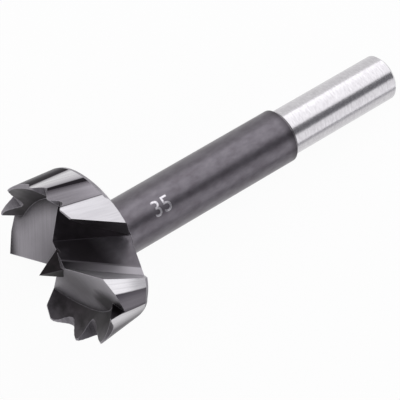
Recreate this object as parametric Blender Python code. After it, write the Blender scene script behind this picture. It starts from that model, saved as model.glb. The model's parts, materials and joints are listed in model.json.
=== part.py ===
"""Forstner bit, 35 mm, with a wavy toothed rim: one solid, turned and ground from one bar.

The bit is drawn in its own frame first. Its axis is +Z towards the tip, z = 0 is the plane
of the tooth tips and main cutters, and the two main cutting edges lie along +X and -X.
It cuts counter-clockwise seen from the tip, so each wing trails off clockwise from its edge.
At the end it is laid down on its side, as it comes to rest on a bench.
"""
import bmesh
import bpy
from math import cos, hypot, pi, radians, sin, tan
from mathutils import Matrix, Vector

# Lengths along the axis, in millimetres
OVERALL_LENGTH = 90.0
POINT_HEIGHT = 3.9
SHANK_LENGTH = 28.0
RIM_DEPTH = 10.0
NECK_DEPTH = 14.4

# Diameters and edge breaks
HEAD_DIAMETER = 35.0
BODY_DIAMETER = 11.6
SHANK_DIAMETER = 10.0
HEAD_TAPER = 5.0
HEAD_EDGE_BREAK = 0.7
NECK_FILLET = 1.5
SHOULDER_CHAMFER = 0.6
SHANK_CHAMFER = 0.7

# Outside of each wing from its cutting edge back: where one form ends and the next starts, as
# angles at the tooth tips and at the head's back, the steps between, and which are ground flat
RIM_ANGLES_TIP = (0.0, 12.0, 30.0, 107.0, 126.0, 180.0)
RIM_ANGLES_BACK = (18.0, 26.0, 43.0, 117.0, 132.0, 198.0)
RIM_STEPS = (3, 5, 20, 5, 15)
RIM_FLAT = (True, True, False, True, False)
RIM_ROWS = 5

# Main cutters and the hollow behind them
RAKE_ANGLE = 28.0
RELIEF_ANGLE = 21.0
EDGE_LAND = 0.05
RIM_CREST = 0.4
RIM_SLOPE = 45.0
HOLLOW_DEPTH = 4.7
HOLLOW_TAPER = 30.0
HOLLOW_FOOT_RADIUS = 4.6

# Chip gullets: the wall that trails the other wing, the floor and the side of the core
WING_ANGLE = 135.0
TRAIL_ANGLES = {"a": (-68.0, 32.5), "b": (-47.6, 31.2)}
FLOOR_FACING = -8.0
FLOOR_TILT = 30.0
FLOOR_OFFSET = -2.1
CORE_FACING = 47.0
CORE_TILT = 7.0
CORE_OFFSET = 2.45

# Rim teeth, as angles behind the wing's main cutting edge: the two wings aren't alike
FIRST_TIP = 32.0
TOOTH_TIPS = {"a": (FIRST_TIP, 65.0, 100.0, 128.0), "b": (FIRST_TIP, 63.5, 96.0, 115.0, 128.0)}
TOOTH_VALLEYS = {"a": (43.0, 88.5, 112.0), "b": (48.0, 90.0, 105.5, 123.0)}
TOOTH_DEPTHS = {"a": (0.9, 3.5, 2.3), "b": (2.8, 0.9, 1.9, 1.7)}
TOOTH_LEAN = 8.0
TOOTH_SWEEP = 6.5
HEEL_DROP = 1.6
HEEL_RUNOUT = 5.0

# Flat ground on the outside of each wing's heel
HEEL_FACING = 32.8
HEEL_TILT = -2.5
HEEL_RELIEF = 0.9

# Centre point
POINT_HALF_WIDTH = 2.5
POINT_TURN = -12.0
POINT_SUNK = 1.5

ROUND_STEPS = 96
WAVE_STEPS = 6
CLEAR = 3.0
STOCK = 60.0
STOCK_STEP = 2.0
MM = 0.001

HEAD_RADIUS = HEAD_DIAMETER / 2
BODY_RADIUS = BODY_DIAMETER / 2
SHANK_RADIUS = SHANK_DIAMETER / 2
SHOULDER_Z = POINT_HEIGHT + SHANK_LENGTH - OVERALL_LENGTH
SHANK_END_Z = POINT_HEIGHT - OVERALL_LENGTH


def direction(facing, tilt=0.0):
    """Unit vector at an angle round the axis, lifted towards the tip by tilt."""
    a, t = radians(facing), radians(tilt)
    return Vector((cos(a) * cos(t), sin(a) * cos(t), sin(t)))


def on_rim(angle, radius=HEAD_RADIUS, z=0.0):
    return Vector((radius * cos(radians(angle)), radius * sin(radians(angle)), z))


def even_ring(radius, z):
    return [on_rim(360.0 * i / ROUND_STEPS, radius, z) for i in range(ROUND_STEPS)]


def rim_ring(radius, z):
    """Ring of the blank that follows the slanting flats on the head, and is round below it."""
    back = min(-z / RIM_DEPTH, 1.0)
    on_head = z >= -RIM_DEPTH
    ring = []
    for wing in (0.0, 180.0):
        places = [tip + (low - tip) * back for tip, low in zip(RIM_ANGLES_TIP, RIM_ANGLES_BACK)]
        for start, end, steps, flat in zip(places, places[1:], RIM_STEPS, RIM_FLAT):
            half = (end - start) / 2
            for i in range(steps):
                turn = half * (2 * i / steps - 1)
                near = cos(radians(half)) / cos(radians(turn)) if flat and on_head else 1.0
                ring.append(on_rim(-(wing + start + half + turn), radius * near, z))
    return ring


def turned(profile, ring=even_ring):
    """Closed solid of revolution from (radius, z) points, listed from the tip down."""
    bm = bmesh.new()
    rings = []
    for radius, z in profile:
        points = ring(radius, z) if radius else [Vector((0, 0, z))]
        rings.append([bm.verts.new(point * MM) for point in points])
    count = max(len(points) for points in rings)
    for upper, lower in zip(rings, rings[1:]):
        for i in range(count):
            j = (i + 1) % count
            corners = [upper[i % len(upper)], lower[i % len(lower)], lower[j % len(lower)], upper[j % len(upper)]]
            bm.faces.new(list(dict.fromkeys(corners)))
    bmesh.ops.recalc_face_normals(bm, faces=bm.faces)
    return bm


def block(size):
    bm = bmesh.new()
    bmesh.ops.create_cube(bm, size=size * MM)
    return bm


def trimmed(bm, planes):
    """Keep what lies ahead of each plane, given as a normal and its distance from the origin."""
    for normal, offset in planes:
        geom = bm.verts[:] + bm.edges[:] + bm.faces[:]
        cut = bmesh.ops.bisect_plane(bm, geom=geom, plane_co=normal * offset * MM, plane_no=-normal,
                                     clear_outer=True, dist=1e-8)
        edges = [e for e in cut["geom_cut"] if isinstance(e, bmesh.types.BMEdge)]
        bmesh.ops.edgeloop_fill(bm, edges=edges)
    bmesh.ops.recalc_face_normals(bm, faces=bm.faces)
    return bm


def eased(start, corner, end):
    """Middle of the curve that rounds a corner between two (radius, z) points."""
    return tuple((a + c) / 4 + b / 2 for a, b, c in zip(start, corner, end))


def blank_profile():
    back_radius = HEAD_RADIUS - RIM_DEPTH * tan(radians(HEAD_TAPER))
    fall = (NECK_DEPTH - RIM_DEPTH) / (back_radius - BODY_RADIUS)
    rim = (back_radius, -RIM_DEPTH)
    rim_start = (back_radius, HEAD_EDGE_BREAK - RIM_DEPTH)
    rim_end = (back_radius - HEAD_EDGE_BREAK, -RIM_DEPTH - fall * HEAD_EDGE_BREAK)
    neck = (BODY_RADIUS, -NECK_DEPTH)
    neck_start = (BODY_RADIUS + NECK_FILLET, fall * NECK_FILLET - NECK_DEPTH)
    neck_end = (BODY_RADIUS, -NECK_DEPTH - NECK_FILLET * hypot(1.0, fall))
    side = [(HEAD_RADIUS + (back_radius - HEAD_RADIUS) * i / RIM_ROWS, rim_start[1] * i / RIM_ROWS)
            for i in range(RIM_ROWS)]
    return [
        (0.0, 0.0),
        *side,
        rim_start,
        eased(rim_start, rim, rim_end),
        rim_end,
        neck_start,
        eased(neck_start, neck, neck_end),
        neck_end,
        (BODY_RADIUS, SHOULDER_Z + SHOULDER_CHAMFER),
        (BODY_RADIUS - SHOULDER_CHAMFER, SHOULDER_Z),
        (SHANK_RADIUS, SHOULDER_Z),
        (SHANK_RADIUS, SHANK_END_Z + SHANK_CHAMFER),
        (SHANK_RADIUS - SHANK_CHAMFER, SHANK_END_Z),
        (0.0, SHANK_END_Z),
    ]


def hollow_profile():
    """Inside of the toothed rim: a bevel from the crest, then a steeper wall down to the core."""
    crest = HEAD_RADIUS - RIM_CREST
    foot = crest - HOLLOW_DEPTH * tan(radians(RIM_SLOPE))
    deep = HOLLOW_DEPTH + (foot - HOLLOW_FOOT_RADIUS) / tan(radians(HOLLOW_TAPER))
    mouth = crest + CLEAR * tan(radians(RIM_SLOPE))
    return [(0.0, CLEAR), (mouth, CLEAR), (foot, -HOLLOW_DEPTH), (HOLLOW_FOOT_RADIUS, -deep), (0.0, -deep)]


RAKE_FACE = (direction(90.0, -RAKE_ANGLE), EDGE_LAND)
RELIEF_FACE = (direction(270.0, 90.0 - RELIEF_ANGLE), 0.0)
GULLET_FLOOR = (direction(FLOOR_FACING, FLOOR_TILT), FLOOR_OFFSET)
CORE_SIDE = (direction(CORE_FACING, CORE_TILT), CORE_OFFSET)
HEEL_FLATS = [(-direction(HEEL_FACING + turn, HEEL_TILT), HEEL_RELIEF - HEAD_RADIUS)
              for turn in (0.0, 180.0)]


def trail_wall(wing):
    """Plane of the wall that trails the other wing, through the end of its rim."""
    normal = direction(*TRAIL_ANGLES[wing])
    return normal, normal.dot(on_rim(180.0 - WING_ANGLE))


def open_sector_planes(wing):
    """Gullet mouth: from the wall that trails the other wing round to this wing's first tooth."""
    lead = direction(90.0 - FIRST_TIP, -TOOTH_LEAN)
    return [trail_wall(wing), (lead, lead.dot(on_rim(-FIRST_TIP)))]


def rim_wave(wing):
    """Solid that leaves one wing's wavy teeth below it, from the first tip back to the last."""
    tips = TOOTH_TIPS[wing]
    outline = []
    for tip, nxt, valley, depth in zip(tips, tips[1:], TOOTH_VALLEYS[wing], TOOTH_DEPTHS[wing]):
        for start, end, down in ((tip, valley, True), (valley, nxt, False)):
            for i in range(WAVE_STEPS):
                s = i / WAVE_STEPS
                fall = (1 - cos(pi * s)) / 2
                outline.append((start + (end - start) * s, -depth * (fall if down else 1 - fall)))
    outline.append((tips[-1], 0.0))
    outline.append((WING_ANGLE + HEEL_RUNOUT, -HEEL_DROP))
    inner, outer, top = HEAD_RADIUS - TOOTH_SWEEP, HEAD_RADIUS + CLEAR, CLEAR
    bm = bmesh.new()
    rows = []
    for angle, z in outline:
        rows.append([bm.verts.new(on_rim(-angle, r, h) * MM) for r, h in
                     ((inner, top), (inner, z), (outer, z), (outer, top))])
    for a, b in zip(rows, rows[1:]):
        for i in range(4):
            j = (i + 1) % 4
            bm.faces.new((a[i], a[j], b[j], b[i]))
    bm.faces.new(rows[0])
    bm.faces.new(rows[-1][::-1])
    bmesh.ops.recalc_face_normals(bm, faces=bm.faces)
    return bm


def centre_point():
    """Four-sided point, its base sunk into the hub."""
    spread = POINT_HALF_WIDTH * (POINT_HEIGHT + POINT_SUNK) / POINT_HEIGHT
    bm = bmesh.new()
    apex = bm.verts.new((0, 0, POINT_HEIGHT * MM))
    base = [bm.verts.new(on_rim(POINT_TURN + 90 * i, spread, -POINT_SUNK) * MM) for i in range(4)]
    for i in range(4):
        bm.faces.new((apex, base[i], base[(i + 1) % 4]))
    bm.faces.new(base[::-1])
    return bm


def add_object(name, bm, parent, turn=0.0):
    mesh = bpy.data.meshes.new(name)
    bm.to_mesh(mesh)
    bm.free()
    obj = bpy.data.objects.new(name, mesh)
    bpy.context.collection.objects.link(obj)
    obj.parent = parent
    obj.rotation_euler.z = radians(turn)
    return obj


def combine(target, tool, operation):
    tool.hide_render = True
    tool.display_type = "WIRE"
    mod = target.modifiers.new(tool.name, "BOOLEAN")
    mod.operation = operation
    mod.solver = "EXACT"
    mod.object = tool


def steel():
    mat = bpy.data.materials.new("ground_steel")
    mat.use_nodes = True
    shader = mat.node_tree.nodes["Principled BSDF"]
    shader.inputs["Base Color"].default_value = (0.10, 0.10, 0.11, 1)
    shader.inputs["Metallic"].default_value = 0.9
    shader.inputs["Roughness"].default_value = 0.35
    return mat


def lie_down(bit, frame):
    """Lay the bit on the flattest stable side of its hull, far gullet down, tip towards -X."""
    evaluated = bit.evaluated_get(bpy.context.evaluated_depsgraph_get())
    bm = bmesh.new()
    bm.from_mesh(evaluated.to_mesh())
    bmesh.ops.triangulate(bm, faces=bm.faces)
    volume, balance = 0.0, Vector()
    for face in bm.faces:
        a, b, c = (v.co for v in face.verts)
        part = a.dot(b.cross(c)) / 6
        volume += part
        balance += part * (a + b + c) / 4
    balance /= volume
    hull = bmesh.ops.convex_hull(bm, input=bm.verts)
    faces = [f for f in hull["geom"] if isinstance(f, bmesh.types.BMFace)]
    far_side = direction(180.0 + (180.0 - WING_ANGLE) / 2)
    best = None
    for face in faces:
        normal = face.normal.copy()
        height = (face.verts[0].co - balance).dot(normal)
        if height < 0:
            normal, height = -normal, -height
        if normal.dot(far_side) > 0.5 and face.calc_area() > 1e-6 and (best is None or height < best[0]):
            best = (height, normal)
    up = -best[1]
    tip = Vector((0, 0, 1))
    along = -(tip - up * tip.dot(up)).normalized()
    turn = Matrix((along, up.cross(along), up)).to_4x4()
    places = [turn @ v.co for v in bm.verts]
    low = Vector([min(p[i] for p in places) for i in range(3)])
    high = Vector([max(p[i] for p in places) for i in range(3)])
    shift = Vector((-(low.x + high.x) / 2, -(low.y + high.y) / 2, -low.z))
    bm.free()
    frame.matrix_world = Matrix.Translation(shift) @ turn


def main():
    for obj in list(bpy.data.objects):
        bpy.data.objects.remove(obj)
    frame = bpy.data.objects.new("lying_frame", None)
    bpy.context.collection.objects.link(frame)
    bit = add_object("forstner_bit", trimmed(turned(blank_profile(), rim_ring), HEEL_FLATS), frame)
    bit.data.materials.append(steel())
    point = add_object("point_stock", centre_point(), frame)
    mouth = add_object("mouth", turned(hollow_profile()), frame)
    relief = trimmed(block(STOCK), [RELIEF_FACE])
    depth = add_object("depth", relief, frame)
    relief = trimmed(block(STOCK + STOCK_STEP), [RELIEF_FACE])
    combine(depth, add_object("relief_b", relief, frame, 180.0), "UNION")
    ground = [RAKE_FACE, GULLET_FLOOR, CORE_SIDE]
    for wing, turn, size, planes in (("a", 0.0, STOCK + 2 * STOCK_STEP, ground),
                                     ("b", 180.0, STOCK + 4 * STOCK_STEP, ground + [trail_wall("b")])):
        sector = trimmed(block(size), open_sector_planes(wing))
        combine(mouth, add_object("sector_" + wing, sector, frame, turn), "UNION")
        gullet = trimmed(block(size + STOCK_STEP), planes)
        combine(depth, add_object("gullet_" + wing, gullet, frame, turn), "UNION")
    combine(mouth, depth, "INTERSECT")
    combine(bit, mouth, "DIFFERENCE")
    for wing, turn in (("a", 0.0), ("b", 180.0)):
        combine(bit, add_object("wave_" + wing, rim_wave(wing), frame, turn), "DIFFERENCE")
    combine(bit, point, "UNION")
    bit.data.shade_smooth()
    bit.data.set_sharp_from_angle(angle=radians(30.0))
    bpy.context.view_layer.update()
    lie_down(bit, frame)


main()
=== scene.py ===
"""A 35 mm forstner bit lying on a pale floor, seen from above its cutting head."""
import json
from math import cos, radians, sin

import bmesh
import bpy
import numpy as np
from mathutils import Matrix, Vector


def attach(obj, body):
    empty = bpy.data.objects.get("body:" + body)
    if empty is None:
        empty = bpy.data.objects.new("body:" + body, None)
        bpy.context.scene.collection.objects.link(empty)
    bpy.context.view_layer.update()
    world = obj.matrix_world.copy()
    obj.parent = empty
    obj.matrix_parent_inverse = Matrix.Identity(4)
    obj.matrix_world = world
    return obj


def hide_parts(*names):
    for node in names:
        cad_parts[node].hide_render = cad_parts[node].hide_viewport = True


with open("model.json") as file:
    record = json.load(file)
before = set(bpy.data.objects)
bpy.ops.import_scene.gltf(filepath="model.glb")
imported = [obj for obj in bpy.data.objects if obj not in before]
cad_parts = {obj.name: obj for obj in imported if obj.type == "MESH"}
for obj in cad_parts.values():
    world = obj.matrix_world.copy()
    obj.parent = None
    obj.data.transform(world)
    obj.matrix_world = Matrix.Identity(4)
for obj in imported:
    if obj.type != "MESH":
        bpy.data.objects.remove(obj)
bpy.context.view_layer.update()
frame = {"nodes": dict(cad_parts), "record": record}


# Where the bit lies
# The bit is drawn from its own axis: +Z runs along it to the centre point, the plane of the
# tooth tips is z = 0, and the two main cutting edges point along +X and -X. Its shank end and
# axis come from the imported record, and it is rolled about that axis as it settled on the floor.
TOOTH_PLANE_TO_SHANK_END = 0.0861
EDGE_DIRECTION = (0.14053, -0.15962, 0.97712)

mount = frame["record"]["mounts"][0]
tipward = -Vector(mount["axis"]).normalized()
edgeward = Vector(EDGE_DIRECTION)
edgeward = (edgeward - tipward * edgeward.dot(tipward)).normalized()
LAID = Matrix((edgeward, tipward.cross(edgeward), tipward)).transposed().to_4x4()
LAID.translation = Vector(mount["pos_m"]) + tipward * TOOTH_PLANE_TO_SHANK_END


# Camera
# A long lens half a metre away, looking down the length of the bit from above its tip, as in
# the photograph. Its places are given from the bit itself, so both turn together.
SENSOR_MM = 36.0
LENS_MM = 225.0
CAMERA_PLACE = (0.41055, 0.16919, 0.19411)
CAMERA_AIM = (0.00073, -0.00308, -0.03474)  # near the middle of the bit's length
CAMERA_ROLL = radians(-120.365)  # from a picture in which the bit's point is up

lens = bpy.data.cameras.new("long_lens")
lens.sensor_width = SENSOR_MM
lens.lens = LENS_MM
lens.clip_start, lens.clip_end = 0.01, 20.0
camera = bpy.data.objects.new("camera", lens)
bpy.context.scene.collection.objects.link(camera)
backward = (Vector(CAMERA_PLACE) - Vector(CAMERA_AIM)).normalized()
sideways = Vector((0.0, 0.0, 1.0)).cross(backward).normalized()
upright = Matrix((sideways, backward.cross(sideways), backward)).transposed().to_4x4()
rolled = upright @ Matrix.Rotation(CAMERA_ROLL, 4, "Z")
camera.matrix_world = LAID @ Matrix.Translation(CAMERA_PLACE) @ rolled
bpy.context.scene.camera = camera
bpy.context.scene.view_settings.view_transform = "Standard"


# Floor and room
# A plain white sheet that runs out of view on all sides, in a plain room that is pale near the
# floor and greyer overhead. The sheet looks white to the eye and in the steel, and it still
# takes the bit's soft shadow. The room behind it looks white to the eye only.
SHEET_HALF = 3.0
SHEET_HEIGHT = -0.00002  # just under the bit, so that the two never share a plane
SHEET_WHITE = "#F6F6F7"
SHEET_GLOW = 0.95  # share of plain white that the eye and the steel see; the rest takes shadow
ROOM_PALE = "#C9C9CC"
ROOM_OVERHEAD = "#77777B"
ROOM_TURNS_GREY = (0.10, 0.45)  # height of the line of sight, from level 0 to straight up 1
PLAIN_WHITE = "#FFFFFF"


def linear(code):
    """A colour written as sRGB hex, turned to the linear values that shaders take."""
    share = np.array([int(code[i:i + 2], 16) for i in (1, 3, 5)]) / 255.0
    return (*np.where(share <= 0.04045, share / 12.92, ((share + 0.055) / 1.055) ** 2.4), 1.0)


def put(tree, kind, inputs=(), stops=(), **settings):
    """Adds one node and returns it.

    Inputs are a row in the node's own order or a table by name. Each is a plain value, a hex
    colour, a socket, or a node, of which the first output in use is read. Stops are the places
    and hex colours of a colour ramp, and settings are the node's own properties."""
    node = tree.nodes.new("ShaderNode" + kind)
    for name, value in settings.items():
        setattr(node, name, value)
    for name, value in inputs.items() if isinstance(inputs, dict) else enumerate(inputs):
        if isinstance(value, bpy.types.Node):
            value = next(output for output in value.outputs if output.enabled)
        if isinstance(value, bpy.types.NodeSocket):
            tree.links.new(value, node.inputs[name])
        else:
            node.inputs[name].default_value = linear(value) if isinstance(value, str) else value
    while stops and len(node.color_ramp.elements) < len(stops):
        node.color_ramp.elements.new(0.5)
    for element, (place, code) in zip(node.color_ramp.elements if stops else (), stops):
        element.position, element.color = place, linear(code)
    return node


def blank_material(name):
    """A material with an empty node tree."""
    material = bpy.data.materials.new(name)
    material.use_nodes = True
    material.node_tree.nodes.clear()
    return material, material.node_tree


def sheet_mesh(name, half, height):
    """A flat square: x and y run from -half to half on a grid of two by two points."""
    x, y = np.meshgrid((-half, half), (-half, half))
    points = np.stack([x, y, np.full_like(x, height)], -1).reshape(-1, 3)
    mesh = bpy.data.meshes.new(name)
    mesh.from_pydata(points.tolist(), [], [(0, 1, 3, 2)])
    return mesh


floor = bpy.data.objects.new("floor_sheet", sheet_mesh("floor_sheet", SHEET_HALF, SHEET_HEIGHT))
bpy.context.scene.collection.objects.link(floor)

# Matt white paper: even and without any shine, so that only the bit's shadow shows on it.
paper, tree = blank_material("matt_white_paper")
ray = put(tree, "LightPath").outputs
seen = put(tree, "Math", (ray["Is Camera Ray"], ray["Is Glossy Ray"]), operation="ADD")
seen = put(tree, "Math", (seen, ray["Is Transmission Ray"]), operation="ADD", use_clamp=True)
share = put(tree, "Math", (seen, SHEET_GLOW), operation="MULTIPLY")
lit = put(tree, "BsdfDiffuse", {"Color": SHEET_WHITE})
glow = put(tree, "Emission", {"Color": PLAIN_WHITE})
put(tree, "OutputMaterial", {"Surface": put(tree, "MixShader", (share, lit, glow))})
floor.data.materials.append(paper)

room = bpy.data.worlds.new("plain_room")
bpy.context.scene.world = room
room.use_nodes = True
tree = room.node_tree
sight = put(tree, "SeparateXYZ", (put(tree, "TexCoord").outputs["Generated"],))
rise = put(tree, "MapRange", {"Value": sight.outputs["Z"], "From Min": ROOM_TURNS_GREY[0],
                              "From Max": ROOM_TURNS_GREY[1]})
walls = put(tree, "Mix", {"Factor": rise, "A": ROOM_PALE, "B": ROOM_OVERHEAD}, data_type="RGBA")
seen = put(tree, "Mix", {"Factor": put(tree, "LightPath").outputs["Is Camera Ray"],
                         "A": walls, "B": PLAIN_WHITE}, data_type="RGBA")
tree.links.new(seen.outputs["Result"], tree.nodes["Background"].inputs["Color"])


# Lamps
# Three soft boxes: a large one behind the bit, one in front of it, with a dark gap between them
# that shows as a thin dark line along the polished shank, and one that lights the sheet.
def soft_box(name, towards, distance, size, brightness):
    """A rectangular lamp that faces the bit with one side along it, so that its edges mirror as
    straight streaks down the shank. Brightness 1 looks white in a mirror: an area lamp does so
    at pi watts for each square metre."""
    lamp = bpy.data.lights.new(name, "AREA")
    lamp.shape = "RECTANGLE"
    lamp.size, lamp.size_y = size
    lamp.energy = brightness * np.pi * size[0] * size[1]
    box = bpy.data.objects.new(name, lamp)
    bpy.context.scene.collection.objects.link(box)
    away = Vector(towards).normalized()
    across = away.cross(tipward).normalized()
    box.matrix_world = Matrix((across.cross(away), across, away)).transposed().to_4x4()
    box.location = away * distance


soft_box("over_box", (0.590, 0.645, 0.490), distance=0.5, size=(0.55, 0.60), brightness=1.38)
soft_box("side_box", (0.595, -0.600, 0.540), distance=0.5, size=(0.45, 0.33), brightness=1.05)
soft_box("sheet_box", (-0.400, 0.450, 0.800), distance=0.7, size=(0.60, 0.60), brightness=1.50)


# The bit
# One bar of tool steel, turned, milled, hardened and blackened all over, then ground bright on
# its cutters, its rim and its shank. The hollows, gullets, back, body and point stay black.
HEAD_RADIUS = 0.0175
RIM_DEPTH = 0.0100
RIM_EDGE_BREAK = 0.0007  # width of the bevel along the rim's back edge
RIM_INSIDE = 0.0140  # everything of the wings outside this radius is rim or teeth
LAND_INSIDE, LAND_DEPTH = 0.0105, 0.0045  # the narrow lands behind the teeth are within these
POINT_RADIUS, POINT_DEPTH = 0.0030, 0.0012
HUB_RADIUS = 0.0062
NECK_Z = -0.0150
HEAD_END_Z = -0.0165
SHOULDER_Z = -0.0581
SHOULDER_BEVEL = 0.0006
SHANK_RADIUS = 0.0050
SLACK = 0.0001  # a place no further than this past a border still counts as inside
RELIEF_UP = cos(radians(21.0))  # where a cutter's two faces look, along the bit and across it
RAKE_UP, RAKE_ACROSS = -sin(radians(28.0)), cos(radians(28.0))
CORE_SIDE, CORE_UP = 0.677, 0.120  # where the core's two flat sides face
SAME_WAY = 0.03  # two directions whose parts differ by less than this are the same
SAME_CORNER = 0.000002  # corners nearer than this are joined
SAME_FLAT = radians(0.5)  # faces that turn less than this are one flat
SOFT_CREASE = radians(32.0)  # an edge that turns less than this looks round
# Where the rim's ground strips begin and end, in degrees behind a cutting edge, at the tooth
# tips and at the back: cutting edge, first strip, long strip, wedge and heel, last strip.
FORMS_AT_TIP = np.array((0.0, 12.0, 30.0, 107.0, 126.0, 180.0))
FORMS_AT_BACK = np.array((18.0, 26.0, 43.0, 117.0, 132.0, 198.0))
HOLLOW, OXIDE, GROUND, RIM, SHANK, POINT = range(6)


def merged_copy(node):
    """The CAD solid's own mesh with its loose corners joined and its flat faces whole."""
    mesh = frame["nodes"][node].data.copy()
    bm = bmesh.new()
    bm.from_mesh(mesh)
    bmesh.ops.remove_doubles(bm, verts=bm.verts, dist=SAME_CORNER)
    bmesh.ops.dissolve_limit(bm, angle_limit=SAME_FLAT, verts=bm.verts, edges=bm.edges)
    bm.to_mesh(mesh)
    bm.free()
    return mesh


def read(items, name):
    """One vector for each of a mesh's items, as rows."""
    flat = np.empty(len(items) * 3)
    items.foreach_get(name, flat)
    return flat.reshape(-1, 3)


def from_bit(points, move=True):
    """Places or directions turned from the room into the bit's own axes."""
    origin = np.array(LAID.translation) if move else 0.0
    return (points - origin) @ np.array(LAID.to_3x3())


def lay_of(points, strip=None):
    """Angle behind the wing's cutting edge, led back along the slant of the rim's ground strips.

    The strips' borders move from their angle at the tips to their angle at the back in step
    with depth, so the angle is looked up among the borders at that depth. A corner keeps the
    strip of its face, so that no strip's colour runs over its border."""
    behind = np.degrees(-np.arctan2(points[:, 1], points[:, 0])) % 180.0
    depth = np.clip(-points[:, 2] / RIM_DEPTH, 0.0, 1.0)
    borders = FORMS_AT_TIP + (FORMS_AT_BACK - FORMS_AT_TIP) * depth[:, None]
    if strip is None:
        behind = np.where(behind < borders[:, 0], behind + 180.0, behind)
        strip = np.clip((behind[:, None] >= borders).sum(1) - 1, 0, len(FORMS_AT_TIP) - 2)
    first, last = (np.take_along_axis(borders, (strip + k)[:, None], 1)[:, 0] for k in (0, 1))
    behind += 180.0 * np.round(((first + last) / 2 - behind) / 180.0)
    part = np.clip((behind - first) / (last - first), 0.0, 1.0)
    return FORMS_AT_TIP[strip] + part * np.diff(FORMS_AT_TIP)[strip], strip


def crease(mesh, group, angle):
    """Marks an edge sharp where its two faces differ in group or turn by more than the angle."""
    bm = bmesh.new()
    bm.from_mesh(mesh)
    bm.faces.ensure_lookup_table()
    for edge in bm.edges:
        a, b = edge.link_faces
        edge.smooth = group[a.index] == group[b.index] and edge.calc_face_angle() < angle
    for face in bm.faces:
        face.smooth = True
    bm.to_mesh(mesh)
    bm.free()


bit_mesh = merged_copy("forstner_bit")
bit_mesh.name = "bit"
bit_mesh.materials.clear()
bit = bpy.data.objects.new("bit", bit_mesh)
bpy.context.scene.collection.objects.link(bit)

# Each face gets its finish from where it lies on the bit and which way it faces. Side, up and
# outward are parts of its direction: 1 looks straight along that way and 0 square to it.
centre = from_bit(read(bit_mesh.polygons, "center"))
facing = from_bit(read(bit_mesh.polygons, "normal"), move=False)
height, side, up = centre[:, 2], np.abs(facing[:, 0]), facing[:, 2]
radius = np.hypot(centre[:, 0], centre[:, 1])
outward = (centre[:, :2] * facing[:, :2]).sum(1) / np.maximum(radius, 1e-9)
_, strip = lay_of(centre)

back_height = RIM_EDGE_BREAK - RIM_DEPTH
wing = radius > RIM_INSIDE
rim = (outward > 0.9) & wing & (height > back_height - SLACK)
back_edge = (outward > 0.5) & wing & (height <= back_height) & ~rim
relief = (side < SAME_WAY) & (np.abs(up - RELIEF_UP) < SAME_WAY)
rake = (side < SAME_WAY) & (np.abs(up - RAKE_UP) < SAME_WAY)
outer_part = (radius > LAND_INSIDE) & (height > -LAND_DEPTH)
land = (np.abs(outward) < 0.15) & (up > 0.3) & outer_part & ~relief
core = (np.abs(side - CORE_SIDE) < SAME_WAY) & (np.abs(up - CORE_UP) < SAME_WAY)
point = (height > -POINT_DEPTH) & (radius < POINT_RADIUS) & ~relief
back = (up < -0.85) | (outward > 0.3) & (up < -0.3)
neck = (radius < HUB_RADIUS) & (height < NECK_Z)
head = height > HEAD_END_Z
from_bevel = np.abs(height - SHOULDER_Z - SHOULDER_BEVEL / 2)
shoulder = (up < -0.5) & (from_bevel < SHOULDER_BEVEL / 2 + SLACK)
shank = (height < SHOULDER_Z + SLACK) & (radius < SHANK_RADIUS + SLACK)

finish = np.where(head & ~neck & ~back, HOLLOW, OXIDE)
finish[point] = POINT
finish[(relief | rake | land) & ~point] = GROUND
finish[back_edge] = GROUND
finish[rim] = RIM
finish[shank] = SHANK
finish[shoulder] = HOLLOW
bit_mesh.polygons.foreach_set("material_index", finish.astype(np.int32))
crease(bit_mesh, finish * 10 + np.where(rim, strip, 0), SOFT_CREASE)

# The mesh carries three values for its finishes: the angle behind the cutting edge as a share
# of half a turn, the height from the tips in centimetres, which ends at -1 on the rim, and the
# kind of face, which is 1 on a rake face and 1 or -1 on the two sides of the core.
corner_of = np.empty(len(bit_mesh.loops), int)
bit_mesh.loops.foreach_get("vertex_index", corner_of)
sides = np.empty(len(bit_mesh.polygons), int)
bit_mesh.polygons.foreach_get("loop_total", sides)
corner = from_bit(read(bit_mesh.vertices, "co"))[corner_of]
lay, _ = lay_of(corner, np.repeat(strip, sides))
kind = np.repeat(np.sign(facing[:, 0]) * core + rake, sides)
carried = bit_mesh.attributes.new("lay", "FLOAT_VECTOR", "CORNER")
carried.data.foreach_set("vector", np.stack([lay / 180.0, corner[:, 2] * 100.0, kind], 1).ravel())
bit_mesh.update()


def bit_place(tree):
    """Position in metres along the bit's own three axes."""
    where = put(tree, "TexCoord").outputs["Object"]
    return put(tree, "Mapping", {"Vector": where, "Location": LAID.translation,
                                 "Rotation": LAID.to_euler()}, vector_type="TEXTURE")


def spots(tree, across, along, detail=3.0):
    """Random spots of about the given size in millimetres across the bit, in its x and in its
    y, and along it: one unit of noise is as long as one spot."""
    scale = [1000.0 / size for size in (*across, along)]
    cells = put(tree, "Mapping", {"Vector": bit_place(tree), "Scale": scale})
    return put(tree, "TexNoise", {"Vector": cells, "Scale": 1.0, "Detail": detail})


def edge_wear_and_glint(tree, width, starts=0.995, full=0.93):
    """How far a place is made paler along edges and creases, from 0 on the flats to 1 on an edge:
    there the normal rounded over the given width turns away from the face's own. It takes in hollow
    creases as well as outer edges, so it is partly edge wear and partly a painted highlight. Starts
    and full are how well the two match, as a cosine, where the paling starts and where it is full."""
    rounded = put(tree, "Bevel", {"Radius": width}, samples=8)
    flat = put(tree, "NewGeometry").outputs["Normal"]
    match = put(tree, "VectorMath", (rounded, flat), operation="DOT_PRODUCT")
    return put(tree, "MapRange", {"Value": match, "From Min": starts, "From Max": full})


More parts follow.
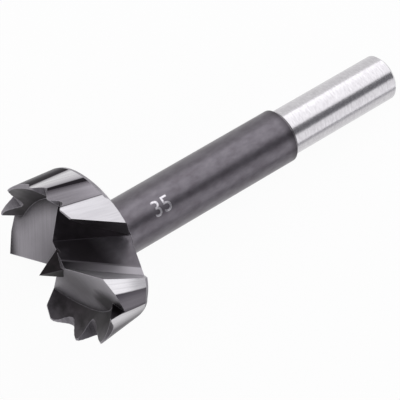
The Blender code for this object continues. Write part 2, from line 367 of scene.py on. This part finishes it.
def steel_surface(tree, colour, roughness, metallic=1.0, grain=None, bump=0.05, glancing="#FFFFFF"):
    """Steel of the given colour, whose mirror takes the glancing tint where light only grazes
    it. Where it has a grain, that stands up by 0.1 mm times bump."""
    inputs = {"Base Color": colour, "Roughness": roughness, "Metallic": metallic,
              "Specular Tint": glancing}
    if grain is not None:
        inputs["Normal"] = put(tree, "Bump", {"Height": grain, "Strength": bump, "Distance": 0.0001})
    put(tree, "OutputMaterial", {"Surface": put(tree, "BsdfPrincipled", inputs)})


# Black oxide rubbed thin on the neck and body: a soft dark grey with the dull metal shine of
# turned steel, in soft blotches drawn out a little along it. It is darker on the last 2 mm by
# the shoulder, and paler along its edges, partly bare steel and partly a painted highlight.
DARKER_END_FROM, DARKER_END_FULL = SHOULDER_Z + 0.0024, SHOULDER_Z + 0.0004


def rubbed_body(tree):
    """Colour and blotches of the thin oxide, from blotches 1.25 mm across and 2.22 mm long."""
    blotches = spots(tree, (1.25, 1.25), 2.22, detail=5.0)
    grey = put(tree, "ValToRGB", (blotches,),
               stops=((0.3, "#605B61"), (0.5, "#68646A"), (0.7, "#706C72")))
    along = put(tree, "SeparateXYZ", (bit_place(tree),)).outputs["Z"]
    darker_end = put(tree, "MapRange", {"Value": along, "From Min": DARKER_END_FROM,
                                      "From Max": DARKER_END_FULL, "To Max": 0.75})
    grey = put(tree, "Mix", {"Factor": darker_end, "A": grey, "B": "#322E31"}, data_type="RGBA")
    return grey, blotches


body_black, tree = blank_material("black_oxide_rubbed_on_the_body")
grey, blotches = rubbed_body(tree)
# Paler along edges and creases: partly wear, partly a painted highlight.
wear_and_glint = edge_wear_and_glint(tree, width=0.0003)
colour = put(tree, "Mix", {"Factor": wear_and_glint, "A": grey, "B": "#A8A4AA"}, data_type="RGBA")
steel_surface(tree, colour, roughness=0.35, grain=blotches)

# Black oxide in the gullets and inside the rim: soot black and half matt, in clouds of 2 mm. It
# is greyer towards the teeth, a painted reflection of the pale floor, and on the core it thins
# towards the neck. The wheel that grinds each rake face also takes a strip off the core at the
# cutter's foot.
CORE_THINS = (-0.0070, -0.0100)  # heights, from soot black to the body's grey
TEETH_PAINTED_REFLECTION = (-0.0010, 0.0030)  # heights, where the clouds add up to CLOUD_LIFT to each place
CLOUD_LIFT = 0.0050
FOOT_STRIP = 0.0016  # how far above the rake face the wheel reaches
STRIP_BLUR = 0.00005  # on each side of the strip's upper border
STRIP_EDGE = (0.00035, 0.00020)  # how far below that border its paler edge starts and is full
FOOT_BRIGHTENS = (0.0030, 0.0090)  # outwards along the cutter

hollow_black, tree = blank_material("black_oxide_in_the_hollows")
cloud = spots(tree, (2.0, 2.0), 2.0)
soot = put(tree, "ValToRGB", (cloud,), stops=((0.3, "#1A1619"), (0.7, "#2B252A")))
place = put(tree, "SeparateXYZ", (bit_place(tree),)).outputs
carried = put(tree, "Attribute", attribute_name="lay").outputs["Vector"]
kind = put(tree, "SeparateXYZ", (carried,)).outputs["Z"]
on_core = put(tree, "Math", (kind,), operation="ABSOLUTE")

half_black = put(tree, "Math", (on_core, 0.5), operation="MULTIPLY")
colour = put(tree, "Mix", {"Factor": half_black, "A": soot, "B": "#433F44"}, data_type="RGBA")
greying = put(tree, "MapRange", {"Value": place["Z"], "From Min": CORE_THINS[0],
                               "From Max": CORE_THINS[1]})
greying = put(tree, "Math", (on_core, greying), operation="MULTIPLY")
grey, _ = rubbed_body(tree)
colour = put(tree, "Mix", {"Factor": greying, "A": colour, "B": grey}, data_type="RGBA")
# Painted reflection: greyer towards the teeth, with cloudy edges.
cloudy_height = put(tree, "Math", (cloud, CLOUD_LIFT, place["Z"]), operation="MULTIPLY_ADD")
greying = put(tree, "MapRange", {"Value": cloudy_height, "From Min": TEETH_PAINTED_REFLECTION[0],
                               "From Max": TEETH_PAINTED_REFLECTION[1], "To Max": 0.5},
            interpolation_type="SMOOTHSTEP")
colour = put(tree, "Mix", {"Factor": greying, "A": colour, "B": "#5F5B60"}, data_type="RGBA")
# Paler along edges and creases: partly wear, partly a painted highlight.
wear_and_glint = edge_wear_and_glint(tree, width=0.0003)
colour = put(tree, "Mix", {"Factor": wear_and_glint, "A": colour, "B": "#5C585E"}, data_type="RGBA")

# The core's two sides are each other turned by half a turn, so kind's sign turns x and y.
across = put(tree, "Math", (kind, place["Y"]), operation="MULTIPLY")
across = put(tree, "Math", (across, RAKE_ACROSS), operation="MULTIPLY")
above_rake = put(tree, "Math", (place["Z"], RAKE_UP, across), operation="MULTIPLY_ADD")
outwards = put(tree, "Math", (kind, place["X"]), operation="MULTIPLY")
outwards = put(tree, "MapRange", {"Value": outwards, "From Min": FOOT_BRIGHTENS[0],
                                  "From Max": FOOT_BRIGHTENS[1]})
strip_grey = put(tree, "Mix", {"Factor": outwards, "A": "#2E2B2E", "B": "#A39FA5"},
                 data_type="RGBA")
wheel_edge = put(tree, "MapRange", {"Value": above_rake, "From Min": FOOT_STRIP - STRIP_EDGE[0],
                                    "From Max": FOOT_STRIP - STRIP_EDGE[1]})
strip_grey = put(tree, "Mix", {"Factor": wheel_edge, "A": strip_grey, "B": "#6E6A6F"},
                 data_type="RGBA")
swept = put(tree, "MapRange", {"Value": above_rake, "From Min": FOOT_STRIP + STRIP_BLUR,
                               "From Max": FOOT_STRIP - STRIP_BLUR})
swept = put(tree, "Math", (on_core, swept), operation="MULTIPLY")
colour = put(tree, "Mix", {"Factor": swept, "A": colour, "B": strip_grey}, data_type="RGBA")
steel_surface(tree, colour, roughness=0.36, metallic=0.6, grain=cloud)

# Black oxide on the centre point, in clouds of 1.1 mm: the last place to see a wheel, so the
# darkest face of the bit, with only its four edges paler, partly rubbed and partly a painted
# highlight.
point_black, tree = blank_material("black_oxide_on_the_point")
cloud = spots(tree, (1.11, 1.11), 1.11)
soot = put(tree, "ValToRGB", (cloud,), stops=((0.3, "#0F0C0E"), (0.7, "#1D181B")))
# Paler along edges and creases: partly wear, partly a painted highlight.
wear_and_glint = edge_wear_and_glint(tree, width=0.0002)
colour = put(tree, "Mix", {"Factor": wear_and_glint, "A": soot, "B": "#4A464B"}, data_type="RGBA")
steel_surface(tree, colour, roughness=0.45, metallic=0.8, grain=cloud)

# Flat faces ground on a wheel: a mid grey with lines across the cutter, paler on the rake
# faces, and dark and matt in the corners and in two patches on the lower wing. The dark in the
# corners follows how closed in each place is, so it is partly oxide that the wheel missed and
# partly painted shade. The two patches are painted shade, for the shaded floor that the lower
# wing mirrors. Real wheel lines are about 0.05 mm apart, too fine to show, so they are drawn
# 0.4 mm apart and 11 mm long. The patches' edges wander by the height of 2.4 mm spots.
SHADE_PATCHES = (  # place, radii within which a patch is full and beyond which it is gone, strength
    ((0.0098, -0.0096, -0.0036), 0.0044, 0.0094, 0.95),
    ((0.0030, -0.0045, -0.0017), 0.0035, 0.0160, 0.65),
)
WANDER = 0.0025
CORNER_REACH = 0.0045

ground_flat, tree = blank_material("ground_tool_steel")
lines = spots(tree, (0.385, 11.1), 11.1)
grey = put(tree, "ValToRGB", (lines,), stops=((0.3, "#868288"), (0.7, "#928E94")))
carried = put(tree, "Attribute", attribute_name="lay").outputs["Vector"]
on_rake = put(tree, "SeparateXYZ", (carried,)).outputs["Z"]
grey = put(tree, "Mix", {"Factor": on_rake, "A": grey, "B": "#C6C3C8"}, data_type="RGBA")
uneven = spots(tree, (2.38, 2.38), 2.38, detail=4.0)
# Painted shade: darker where a corner closes in around a place, and in the two patches.
open_part = put(tree, "AmbientOcclusion", {"Distance": CORNER_REACH}, samples=8).outputs["AO"]
oxide_and_shade = put(tree, "MapRange", {"Value": open_part, "From Min": 1.0, "From Max": 0.7})
for spot, full, gone, strength in SHADE_PATCHES:
    away = put(tree, "VectorMath", (bit_place(tree), spot), operation="DISTANCE")
    away = put(tree, "Math", (uneven, WANDER, away), operation="MULTIPLY_ADD")
    patch = put(tree, "MapRange", {"Value": away, "From Min": gone, "From Max": full,
                                   "To Max": strength})
    oxide_and_shade = put(tree, "Math", (oxide_and_shade, patch), operation="MAXIMUM")
colour = put(tree, "Mix", {"Factor": oxide_and_shade, "A": grey, "B": "#2A2629"}, data_type="RGBA")
# Paler along edges and creases: partly wear, partly a painted highlight.
wear_and_glint = edge_wear_and_glint(tree, width=0.0002)
colour = put(tree, "Mix", {"Factor": wear_and_glint, "A": colour, "B": "#B8B4BA"}, data_type="RGBA")
matt = put(tree, "MapRange", {"Value": oxide_and_shade, "To Min": 0.38, "To Max": 0.73})
steel_surface(tree, colour, matt, metallic=0.7, grain=lines)

# The rim, ground in slanting strips, each its own flat. Its colour is painted reflection and
# painted shade: bright and dark bands for the lamps, the floor and its shade that each strip
# mirrors, a white wedge, and dark lines along the strips' borders. It is a little duller where
# light only grazes it. Its stops are degrees behind the cutting edge. The edge of the bright
# wedge leans: it lies at one angle at the tips and another at the back. The wheel lines are
# drawn 0.5 mm apart, because real ones are too fine to show.
RIM_PAINTED_REFLECTIONS = (
    (0.0, "#DAD8DB"), (11.7, "#DAD8DB"),
    (12.3, "#57535A"), (20.0, "#7A767C"), (27.0, "#7C787E"), (29.7, "#5A565B"),
    (30.3, "#E6E4E7"), (36.0, "#E0DEE1"), (41.0, "#CCCACD"), (46.0, "#8A868C"), (54.0, "#625E64"),
    (75.0, "#7A767C"), (82.0, "#66626A"), (88.0, "#3C393D"), (94.3, "#3C393D"),
    (95.5, "#BDBABE"), (97.5, "#F2F1F3"), (100.5, "#DEDCDF"), (104.0, "#B4B1B6"),
    (104.5, "#2A272B"), (106.9, "#2A272B"),
    (107.6, "#524E53"), (113.0, "#8A868C"), (125.4, "#8A868C"),
    (125.7, "#3C393D"), (126.2, "#3C393D"), (126.6, "#B8B6BA"),
)
LONG_STRIP, WEDGE_START, WEDGE_END = 30.0, 95.5, 107.0
WEDGE_AT_TIPS, WEDGE_AT_BACK = 95.0, 84.5
WHEEL_LINE = 0.0005
LINES_IN_HALF_TURN = np.pi * HEAD_RADIUS / WHEEL_LINE

ground_rim, tree = blank_material("ground_rim_with_painted_reflections")
carried = put(tree, "Attribute", attribute_name="lay").outputs["Vector"]
lay = put(tree, "SeparateXYZ", (carried,)).outputs
lean = put(tree, "MapRange", {"Value": lay["Y"], "From Min": 0.0, "From Max": -1.0,
                              "To Min": WEDGE_AT_TIPS / 180.0, "To Max": WEDGE_AT_BACK / 180.0})
# Four stretches of the rim are laid end to end, so that the leaning edge meets its own stop.
looked_up = 0.0
for start, end, first, last in (
        (0.0, LONG_STRIP / 180.0, 0.0, LONG_STRIP),
        (LONG_STRIP / 180.0, lean, LONG_STRIP, WEDGE_START),
        (lean, WEDGE_END / 180.0, WEDGE_START, WEDGE_END),
        (WEDGE_END / 180.0, 1.0, WEDGE_END, 180.0)):
    stretch = put(tree, "MapRange", {"Value": lay["X"], "From Min": start, "From Max": end,
                                     "To Max": (last - first) / 180.0})
    looked_up = put(tree, "Math", (looked_up, stretch), operation="ADD")
# Painted reflections and painted shade: light and dark bands laid round the rim by angle.
painted_reflections = put(tree, "ValToRGB", (looked_up,),
             stops=[(angle / 180.0, code) for angle, code in RIM_PAINTED_REFLECTIONS])
cells = put(tree, "Mapping", {"Vector": carried, "Scale": (LINES_IN_HALF_TURN, 1.0, 0.0)})
lines = put(tree, "TexNoise", {"Vector": cells, "Scale": 1.0, "Detail": 3.0})
line_grey = put(tree, "ValToRGB", (lines,), stops=((0.35, "#A8A4AA"), (0.6, "#FFFFFF")))
colour = put(tree, "Mix", {"Factor": 0.16, "A": painted_reflections, "B": line_grey}, data_type="RGBA",
             blend_type="MULTIPLY")
steel_surface(tree, colour, roughness=0.25, grain=lines, bump=0.02, glancing="#B4B4B4")

# The shank, ground round between centres: bright, with faint rings across it. Real ones are
# about 0.05 mm apart and too fine to show, so they are drawn 0.33 mm apart.
polished, tree = blank_material("polished_tool_steel")
rings = spots(tree, (1.11, 1.11), 0.3333)
colour = put(tree, "ValToRGB", (rings,), stops=((0.3, "#BDBABE"), (0.7, "#CECCCF")))
steel_surface(tree, colour, roughness=0.22, grain=rings, bump=0.02)

for steel in (hollow_black, body_black, ground_flat, ground_rim, polished, point_black):
    bit_mesh.materials.append(steel)

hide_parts("forstner_bit")
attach(bit, "root")


# Size number
# The bit's diameter in millimetres, stamped into the body near the head before blackening and
# worn bright since. It is drawn as a thin skin of bare steel that lies in the body's round.
SIZE_IN_MM = "35"
NUMBER_HEIGHT = 0.0033
NUMBER_Z = -0.0236
NUMBER_TURN = radians(20.0)
NUMBER_LEVELS = 12  # strips that each figure is cut into, so that it bends round the body
BODY_RADIUS = 0.0058
SKIN = 0.00002  # how far the number stands proud
NUMBER_DEPTH = 0.00012


def text_sheet(words, height, levels):
    """The words as one flat mesh in x and y, centred, with figures as tall as the given height
    and cut into that many level strips. It faces +Z."""
    curve = bpy.data.curves.new("figures", "FONT")
    curve.body = words
    figures = bpy.data.objects.new("figures", curve)
    bpy.context.scene.collection.objects.link(figures)
    mesh = bpy.data.meshes.new_from_object(figures)
    bpy.data.objects.remove(figures)
    flat = read(mesh.vertices, "co")
    low, high = flat.min(0), flat.max(0)
    flat = (flat - (low + high) / 2.0) * height / (high - low)[1]
    mesh.vertices.foreach_set("co", flat.ravel())
    bm = bmesh.new()
    bm.from_mesh(mesh)
    for level in np.linspace(-height / 2.0, height / 2.0, levels + 1)[1:-1]:
        bmesh.ops.bisect_plane(bm, geom=bm.verts[:] + bm.edges[:] + bm.faces[:],
                               plane_co=(0.0, level, 0.0), plane_no=(0.0, 1.0, 0.0))
    bm.to_mesh(mesh)
    bm.free()
    return mesh


def round_body(flat):
    """A flat sheet wrapped round the body: its x runs down the body away from the tip, and its
    y runs round it, so that an arc on the body is as long as y was."""
    angle = NUMBER_TURN + flat[:, 1] / BODY_RADIUS
    reach = BODY_RADIUS + SKIN
    points = np.stack([reach * np.cos(angle), reach * np.sin(angle), NUMBER_Z - flat[:, 0]], 1)
    return points @ np.array(LAID.to_3x3()).T + np.array(LAID.translation)


number_mesh = text_sheet(SIZE_IN_MM, NUMBER_HEIGHT, NUMBER_LEVELS)
number_mesh.vertices.foreach_set("co", round_body(read(number_mesh.vertices, "co")).ravel())
number_mesh.update()
number = bpy.data.objects.new("size_number", number_mesh)
bpy.context.scene.collection.objects.link(number)
depth = number.modifiers.new("depth", "SOLIDIFY")
depth.thickness, depth.offset = NUMBER_DEPTH, -1.0

# Bare steel where the oxide has worn off the stamped figures: pale, in flecks of 0.7 mm.
bare, tree = blank_material("bare_steel_in_the_stamped_number")
flecks = spots(tree, (0.667, 0.667), 0.667)
colour = put(tree, "ValToRGB", (flecks,), stops=((0.3, "#8E8A90"), (0.5, "#D2CFD4")))
steel_surface(tree, colour, roughness=0.3)
number_mesh.materials.clear()
number_mesh.materials.append(bare)
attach(number, "root")
